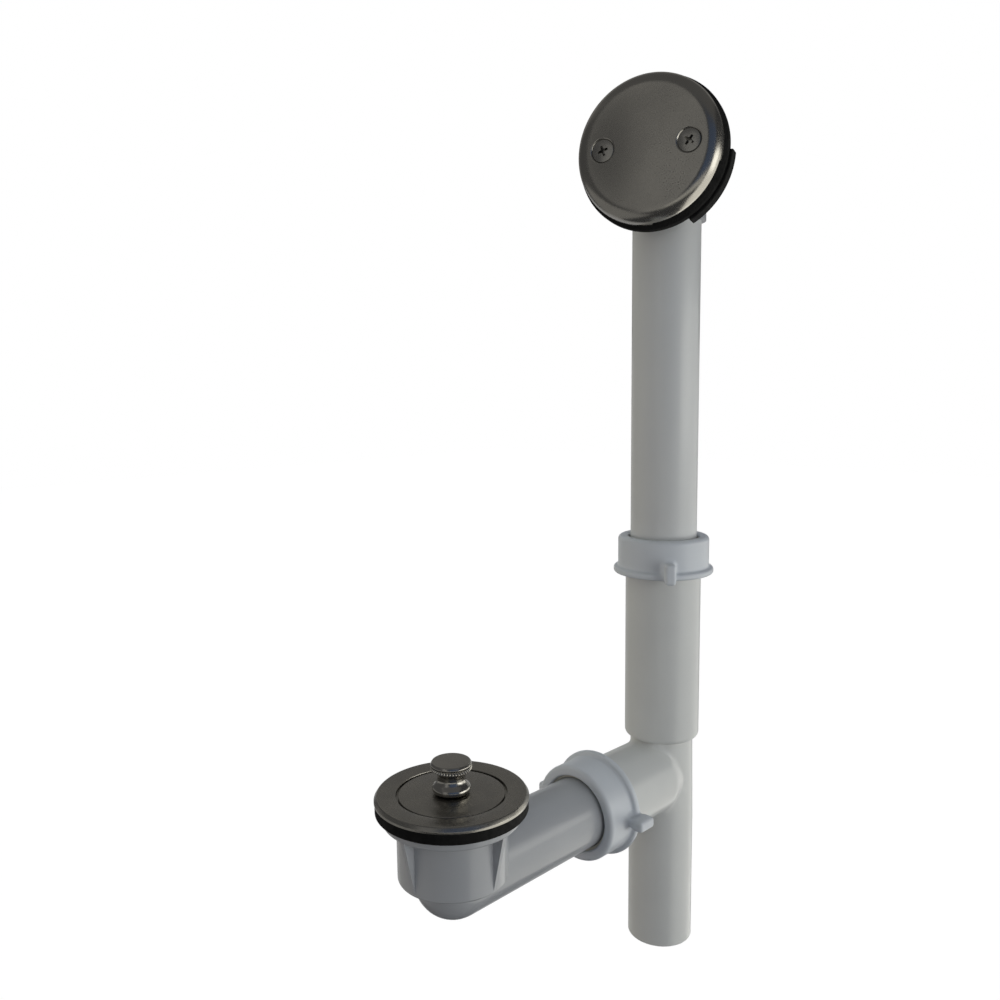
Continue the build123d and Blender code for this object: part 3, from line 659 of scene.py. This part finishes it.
def knob():
    """Spool knob: bulged foot, waist, knurled rim and a bevelled flat top."""
    foot = CAP_TOP
    top = foot + KNOB_HEIGHT
    stud = foot - KNOB_STUD_DEPTH
    outline = [(0, stud), (KNOB_STUD_R, stud), (KNOB_STUD_R, foot + 0.02)]
    outline += flowing([(r, foot + h) for r, h in KNOB_SHAPE])
    band_low = foot + KNOB_SHAPE[-1][1] + 0.3
    band_high = top - 1.35
    band = band_high - band_low
    outline += [(KNOB_RIM_R, band_low + band * part / 10) for part in range(11)]
    outline += rounded(
        (KNOB_RIM_R, band_high, 0), (KNOB_RIM_R, top - 1.1, 0.5), (KNOB_RIM_R - 0.75, top, 0.5),
        (0, top, 0), (0, band_high, 0), steps=6)[1:-1]

    def knurl(radius, height, angle):
        """Cut the knurl's grooves into the band, fading towards its edges."""
        if radius < KNOB_RIM_R - 0.1 or not band_low - 0.1 <= height <= band_high + 0.1:
            return radius, height
        fade = math.sin(math.pi * min(max((height - band_low) / band, 0), 1)) ** 0.5
        return radius - KNURL_DEPTH * fade * (0.5 + 0.5 * math.cos(KNURLS * angle)), height

    return lathe("stopper_spool", outline, DRAIN_PLACE, KNURLS * KNURL_COLUMNS, knurl, 40.0)


# Material tools
class Paint:
    """A node material that is built up step by step."""

    def __init__(self, name, **constants):
        self.material = bpy.data.materials.new(name)
        self.material.use_nodes = True
        self.tree = self.material.node_tree
        self.shader = self.tree.nodes["Principled BSDF"]
        for socket, value in constants.items():
            self.shader.inputs[socket.replace("_", " ")].default_value = value
        self.place = self.node("ShaderNodeTexCoord").outputs["Object"]

    def node(self, kind, inputs=(), **settings):
        """New node; inputs maps socket names or numbers to values or to other sockets."""
        made = self.tree.nodes.new(kind)
        for key, value in settings.items():
            setattr(made, key, value)
        for socket, value in dict(inputs).items():
            if isinstance(value, bpy.types.NodeSocket):
                self.tree.links.new(value, made.inputs[socket])
            else:
                made.inputs[socket].default_value = value
        return made

    def noise(self, scale, detail=2.0, rough=0.5, vector=None):
        """Noise of so many cells a metre."""
        source = self.place if vector is None else vector
        sockets = {"Vector": source, "Scale": scale, "Detail": detail, "Roughness": rough}
        return self.node("ShaderNodeTexNoise", sockets).outputs["Fac"]

    def cells(self, scale):
        """Scattered cells, so many a metre."""
        sockets = {"Vector": self.place, "Scale": scale}
        return self.node("ShaderNodeTexVoronoi", sockets, feature="F1")

    def math(self, operation, a, b=0.0):
        """Arithmetic on two values."""
        return self.node("ShaderNodeMath", {0: a, 1: b}, operation=operation).outputs[0]

    def spread(self, value, low, high, to_low, to_high):
        """Map a value from one range to another, without overshoot."""
        sockets = {"Value": value, "From Min": low, "From Max": high}
        sockets.update({"To Min": to_low, "To Max": to_high})
        return self.node("ShaderNodeMapRange", sockets).outputs["Result"]

    def mix(self, factor, a, b):
        """Mix of two colours."""
        made = self.node("ShaderNodeMix", {0: factor, 6: a, 7: b}, data_type="RGBA")
        return made.outputs[2]

    def bump(self, height, depth, strength, under=None):
        """Bump of a height field, depth in metres."""
        sockets = {"Height": height, "Distance": depth, "Strength": strength}
        if under is not None:
            sockets["Normal"] = under
        return self.node("ShaderNodeBump", sockets).outputs["Normal"]

    def set(self, socket, value):
        """Link a value to the shader."""
        self.tree.links.new(value, self.shader.inputs[socket])

    def polar(self, around, along, out):
        """Object place as (angle, radius, height), each scaled, for grain that runs round."""
        parts = self.node("ShaderNodeSeparateXYZ", {0: self.place})
        angle = self.math("ARCTAN2", parts.outputs[1], parts.outputs[0])
        squares = [self.math("POWER", parts.outputs[axis], 2.0) for axis in (0, 1)]
        radius = self.math("SQRT", self.math("ADD", *squares))
        made = self.node("ShaderNodeCombineXYZ", {
            0: self.math("MULTIPLY", angle, around),
            1: self.math("MULTIPLY", radius, out),
            2: self.math("MULTIPLY", parts.outputs[2], along),
        })
        return made.outputs[0]


def rgb(r, g, b):
    """Colour with full alpha."""
    return (r, g, b, 1.0)


def plastic_paint(name, skin, rough):
    """Start of an off-white plastic: a dull body under a glossy skin of some weight."""
    return Paint(
        name, Roughness=rough, IOR=1.5, Subsurface_Weight=0.12, Subsurface_Scale=0.0012,
        Subsurface_Radius=(1.0, 0.95, 0.9), Specular_IOR_Level=0.5 * (1 - skin),
        Coat_Weight=skin, Coat_Roughness=0.06)


def plastic(name, colour, dark, skin, rough=0.32, grain=0.00002, specks=False):
    """Moulded off-white plastic: slight clouding, faint moulding ripple, a few dark specks."""
    paint = plastic_paint(name, skin, rough)
    cloud = paint.spread(paint.noise(28, 3.0, 0.55), 0.35, 0.65, 0.0, 1.0)
    base = paint.mix(cloud, colour, dark)
    if specks:
        cells = paint.cells(55.0)
        near = paint.spread(cells.outputs["Distance"], 0.014, 0.026, 1.0, 0.0)
        pick = paint.node("ShaderNodeSeparateColor", {0: cells.outputs["Color"]})
        rare = paint.spread(pick.outputs[0], 0.93, 0.935, 0.0, 1.0)
        base = paint.mix(paint.math("MULTIPLY", near, rare), base, rgb(0.10, 0.09, 0.08))
    paint.set("Base Color", base)
    worn = paint.noise(120, 3.0, 0.6)
    paint.set("Roughness", paint.spread(worn, 0.3, 0.7, rough - 0.03, rough + 0.05))
    ripple = paint.bump(paint.noise(60, 2.0, 0.5), grain * 6, 0.5)
    paint.set("Normal", paint.bump(paint.noise(1500, 2.0, 0.6), grain, 0.6, ripple))
    return paint.material


def drawn_plastic(name, colour, dark, skin, rough=0.32):
    """Drawn tube: the same plastic with faint lines along the tube."""
    paint = plastic_paint(name, skin, rough)
    lines = paint.noise(1.0, 3.0, 0.6, paint.polar(26.0, 4.0, 300.0))
    cloud = paint.noise(22, 3.0, 0.55)
    paint.set("Base Color", paint.mix(paint.spread(cloud, 0.35, 0.65, 0.0, 1.0), colour, dark))
    paint.set("Roughness", paint.spread(lines, 0.3, 0.7, rough - 0.04, rough + 0.06))
    drawn = paint.bump(lines, 0.00003, 0.5)
    paint.set("Normal", paint.bump(paint.noise(1500, 2.0, 0.6), 0.000015, 0.5, drawn))
    return paint.material


def rubber(name, colour, rough=0.75, pores=0.0):
    """Black rubber or closed-cell foam."""
    paint = Paint(name, Roughness=rough, IOR=1.45, Specular_IOR_Level=0.18)
    dust = paint.spread(paint.noise(180, 4.0, 0.65), 0.45, 0.8, 0.0, 1.0)
    dusty = rgb(*(2.0 * part for part in colour[:3]))
    paint.set("Base Color", paint.mix(dust, colour, dusty))
    grain = paint.bump(paint.noise(2200, 3.0, 0.6), 0.00008, 0.6)
    if pores:
        grain = paint.bump(paint.cells(900.0).outputs["Distance"], pores, 0.7, grain)
    paint.set("Normal", grain)
    paint.set("Roughness", paint.spread(paint.noise(400, 2.0), 0.3, 0.7, rough - 0.08, rough + 0.1))
    return paint.material


def brushed(name, colour, shade, rough=0.27, anisotropy=0.35, turned_grain=True, cloud=14.0):
    """Brushed nickel: fine grain, turned or even, under a cloudy sheen."""
    paint = Paint(name, Metallic=1.0, Roughness=rough, Anisotropic=anisotropy)
    if turned_grain:
        grain = paint.noise(1.0, 4.0, 0.7, paint.polar(9.0, 2600.0, 2600.0))
        tangent = paint.node("ShaderNodeTangent", direction_type="RADIAL", axis="Z").outputs[0]
        paint.set("Tangent", tangent)
    else:
        grain = paint.noise(1800.0, 3.0, 0.65)
    mottle = paint.noise(cloud * 5, 4.0, 0.6)
    clouds = paint.spread(mottle, 0.35, 0.7, 0.0, 1.0)
    paint.set("Base Color", paint.mix(clouds, colour, shade))
    fine = paint.spread(grain, 0.25, 0.75, rough - 0.06, rough + 0.08)
    paint.set("Roughness", paint.math("ADD", fine, paint.spread(mottle, 0.3, 0.7, -0.02, 0.04)))
    paint.set("Normal", paint.bump(grain, 0.000003, 0.4))
    return paint.material


def machined(name, colour, shade, rough=0.28):
    """Machined brass or steel with tool marks."""
    paint = Paint(name, Metallic=1.0, Roughness=rough)
    marks = paint.noise(900, 3.0, 0.6)
    paint.set("Base Color", paint.mix(paint.noise(120, 3.0, 0.6), colour, shade))
    paint.set("Roughness", paint.spread(marks, 0.3, 0.7, rough - 0.06, rough + 0.1))
    paint.set("Normal", paint.bump(marks, 0.00002, 0.4))
    return paint.material


def dress(node, material):
    """Give a carried-over piece its finish."""
    piece = frame["nodes"][node]
    piece.data.materials.clear()
    piece.data.materials.append(material)


def install(piece, material, body, slot, *nodes):
    """Give a new piece its finish, its body and the nodes that it stands for."""
    piece.data.materials.clear()
    piece.data.materials.append(material)
    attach(piece, body)
    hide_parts(*nodes)


# Stage, light and camera
def add_camera():
    """Camera at the photograph's place, with its roll."""
    azimuth, pitch, roll = (math.radians(a) for a in (CAMERA_AZIMUTH, CAMERA_PITCH, CAMERA_ROLL))
    level = Vector((-math.sin(azimuth), math.cos(azimuth), 0))
    ahead = level * math.cos(pitch) - Vector((0, 0, math.sin(pitch)))
    right = ahead.cross(Vector((0, 0, 1))).normalized()
    up = right.cross(ahead)
    right, up = (
        right * math.cos(roll) + up * math.sin(roll), up * math.cos(roll) - right * math.sin(roll))
    data = bpy.data.cameras.new("camera")
    data.lens = CAMERA_LENS
    data.sensor_width = SENSOR
    data.sensor_fit = "HORIZONTAL"
    data.clip_start = CAMERA_NEAR
    camera = bpy.data.objects.new("camera", data)
    camera.matrix_world = axes_place(CAMERA_PLACE, right, up, -ahead)
    bpy.context.scene.collection.objects.link(camera)
    bpy.context.scene.camera = camera


def add_light(name, turn, rise, distance, width, height, watts, colour, gloss):
    """Area light, turned from the camera's right towards the camera, and raised.

    It either shines on the pieces or shows in their gloss only.
    """
    azimuth, turn, rise = (math.radians(a) for a in (CAMERA_AZIMUTH, turn, rise))
    right = Vector((math.cos(azimuth), math.sin(azimuth), 0))
    nearer = Vector((math.sin(azimuth), -math.cos(azimuth), 0))
    side = right * math.cos(turn) + nearer * math.sin(turn)
    towards = side * math.cos(rise) + Vector((0, 0, 1)) * math.sin(rise)
    data = bpy.data.lights.new(name, "AREA")
    data.shape = "RECTANGLE"
    data.size = width
    data.size_y = height
    data.energy = watts
    data.color = colour
    light = bpy.data.objects.new(name, data)
    light.location = LIGHT_CENTRE + towards * distance
    light.rotation_euler = (-towards).to_track_quat("-Z", "Y").to_euler()
    light.visible_camera = False
    light.visible_diffuse = not gloss
    light.visible_transmission = not gloss
    light.visible_glossy = gloss
    bpy.context.scene.collection.objects.link(light)


def add_world():
    """White behind the object for the camera, and a dark room for every other ray."""
    world = bpy.data.worlds.new("room")
    bpy.context.scene.world = world
    world.use_nodes = True
    tree = world.node_tree
    room = tree.nodes["Background"]
    room.inputs["Color"].default_value = rgb(*ROOM_COLOUR)
    white = tree.nodes.new("ShaderNodeBackground")
    white.inputs["Color"].default_value = rgb(1, 1, 1)
    path = tree.nodes.new("ShaderNodeLightPath")
    choose = tree.nodes.new("ShaderNodeMixShader")
    tree.links.new(path.outputs["Is Camera Ray"], choose.inputs[0])
    tree.links.new(room.outputs[0], choose.inputs[1])
    tree.links.new(white.outputs[0], choose.inputs[2])
    tree.links.new(choose.outputs[0], tree.nodes["World Output"].inputs["Surface"])
    bpy.context.scene.view_settings.view_transform = "Standard"


def add_floor():
    """Plain pale floor under the waste's tail, which lights nothing."""
    bm = bmesh.new()
    bmesh.ops.create_grid(bm, x_segments=1, y_segments=1, size=FLOOR_HALF)
    floor = finished("floor", bm, Matrix.Translation((0, 0, CAD_BOX[0][2] - FLOOR_GAP)))
    paint = Paint("floor_white", Roughness=0.9)
    paint.shader.inputs["Base Color"].default_value = rgb(0, 0, 0)
    paint.shader.inputs["Emission Color"].default_value = rgb(1, 1, 1)
    paint.shader.inputs["Emission Strength"].default_value = 1.0
    floor.data.materials.append(paint.material)
    for rays in ("diffuse", "glossy", "transmission", "shadow"):
        setattr(floor, "visible_" + rays, False)
    floor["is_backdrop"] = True


def build():
    """Finish every piece that stays as it came, and install every piece that is drawn here."""
    shoe = plastic(
        "shoe_plastic", rgb(0.465, 0.475, 0.50), rgb(0.445, 0.455, 0.48), skin=0.45, specks=True)
    tee = plastic(
        "tee_plastic", rgb(0.74, 0.745, 0.735), rgb(0.71, 0.715, 0.71), skin=0.25, specks=True)
    nuts = plastic(
        "nut_plastic", rgb(0.72, 0.75, 0.80), rgb(0.70, 0.73, 0.78), skin=0.1, rough=0.36,
        grain=0.00001)
    tube = drawn_plastic("tube_plastic", rgb(0.73, 0.735, 0.735), rgb(0.71, 0.715, 0.72), skin=0.2)
    soft = plastic(
        "washer_plastic", rgb(0.66, 0.64, 0.56), rgb(0.62, 0.60, 0.53), skin=0.0, rough=0.4)
    black = rubber("black_rubber", rgb(0.0045, 0.0045, 0.0045))
    foam = rubber("black_foam", rgb(0.006, 0.006, 0.006), rough=0.85, pores=0.00025)
    nickel = brushed("flange_nickel", rgb(0.40, 0.385, 0.35), rgb(0.33, 0.32, 0.30))
    disc = brushed("disc_nickel", rgb(0.40, 0.385, 0.35), rgb(0.33, 0.32, 0.30))
    spool = brushed(
        "spool_nickel", rgb(0.48, 0.465, 0.43), rgb(0.42, 0.405, 0.38), rough=0.18, anisotropy=0.2)
    plate = brushed(
        "plate_nickel", rgb(0.42, 0.405, 0.37), rgb(0.39, 0.375, 0.345), rough=0.22,
        anisotropy=0.0, turned_grain=False, cloud=8.0)
    bolt = brushed(
        "screw_nickel", rgb(0.44, 0.43, 0.40), rgb(0.38, 0.37, 0.345), rough=0.22,
        anisotropy=0.0, turned_grain=False)
    brass = machined("brass", rgb(0.72, 0.52, 0.22), rgb(0.62, 0.43, 0.17))
    steel = machined("spring_steel", rgb(0.55, 0.55, 0.56), rgb(0.42, 0.42, 0.43))

    for node, finish in {
        "waste_shoe": shoe, "tee_body": tee, "overflow_elbow": shoe,
        "side_slip_washer": soft, "upper_slip_washer": soft,
        "drain_washer": black, "stopper_seal": black, "post_friction_ring": black,
        "stopper_post": brass, "stopper_cam_sleeve": brass,
        "elbow_insert_left": brass, "elbow_insert_right": brass, "post_clip": steel,
    }.items():
        dress(node, finish)

    install(riser(), tube, "riser", "riser_plastic", "riser_tube")
    install(slip_nut("upper_nut", UPPER_NUT_PLACE), nuts, "upper_nut", "nut_plastic", "upper_slip_nut")
    install(slip_nut("side_nut", SIDE_NUT_PLACE), nuts, "side_nut", "nut_plastic", "side_slip_nut")
    install(faceplate(), plate, "riser", "plate_nickel", "overflow_faceplate")
    install(screw("screw_left", -1), bolt, "riser", "screw_nickel", "faceplate_screw_left")
    install(screw("screw_right", 1), bolt, "riser", "screw_nickel", "faceplate_screw_right")
    install(gasket(), foam, "riser", "gasket_foam", "overflow_gasket")
    install(drain_flange(), nickel, "shoe", "strainer_nickel", "drain_strainer")
    install(cap(), disc, "stopper", "cap_nickel", "stopper_cap")
    install(knob(), spool, "stopper", "knob_nickel", "stopper_knob")


build()
add_camera()
add_world()
add_floor()
for lamp, turn, rise, watts, colour in LIGHTS:
    add_light(lamp, turn, rise, LIGHT_DISTANCE, LIGHT_SIZE, LIGHT_SIZE, watts, colour, False)
for lamp, turn, rise, distance, width, height, radiance, colour in ROOM:
    add_light(lamp, turn, rise, distance, width, height, 4 * width * height * radiance, colour, True)

[[list(corner) for corner in box] for box in (CAD_BOX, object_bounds())]
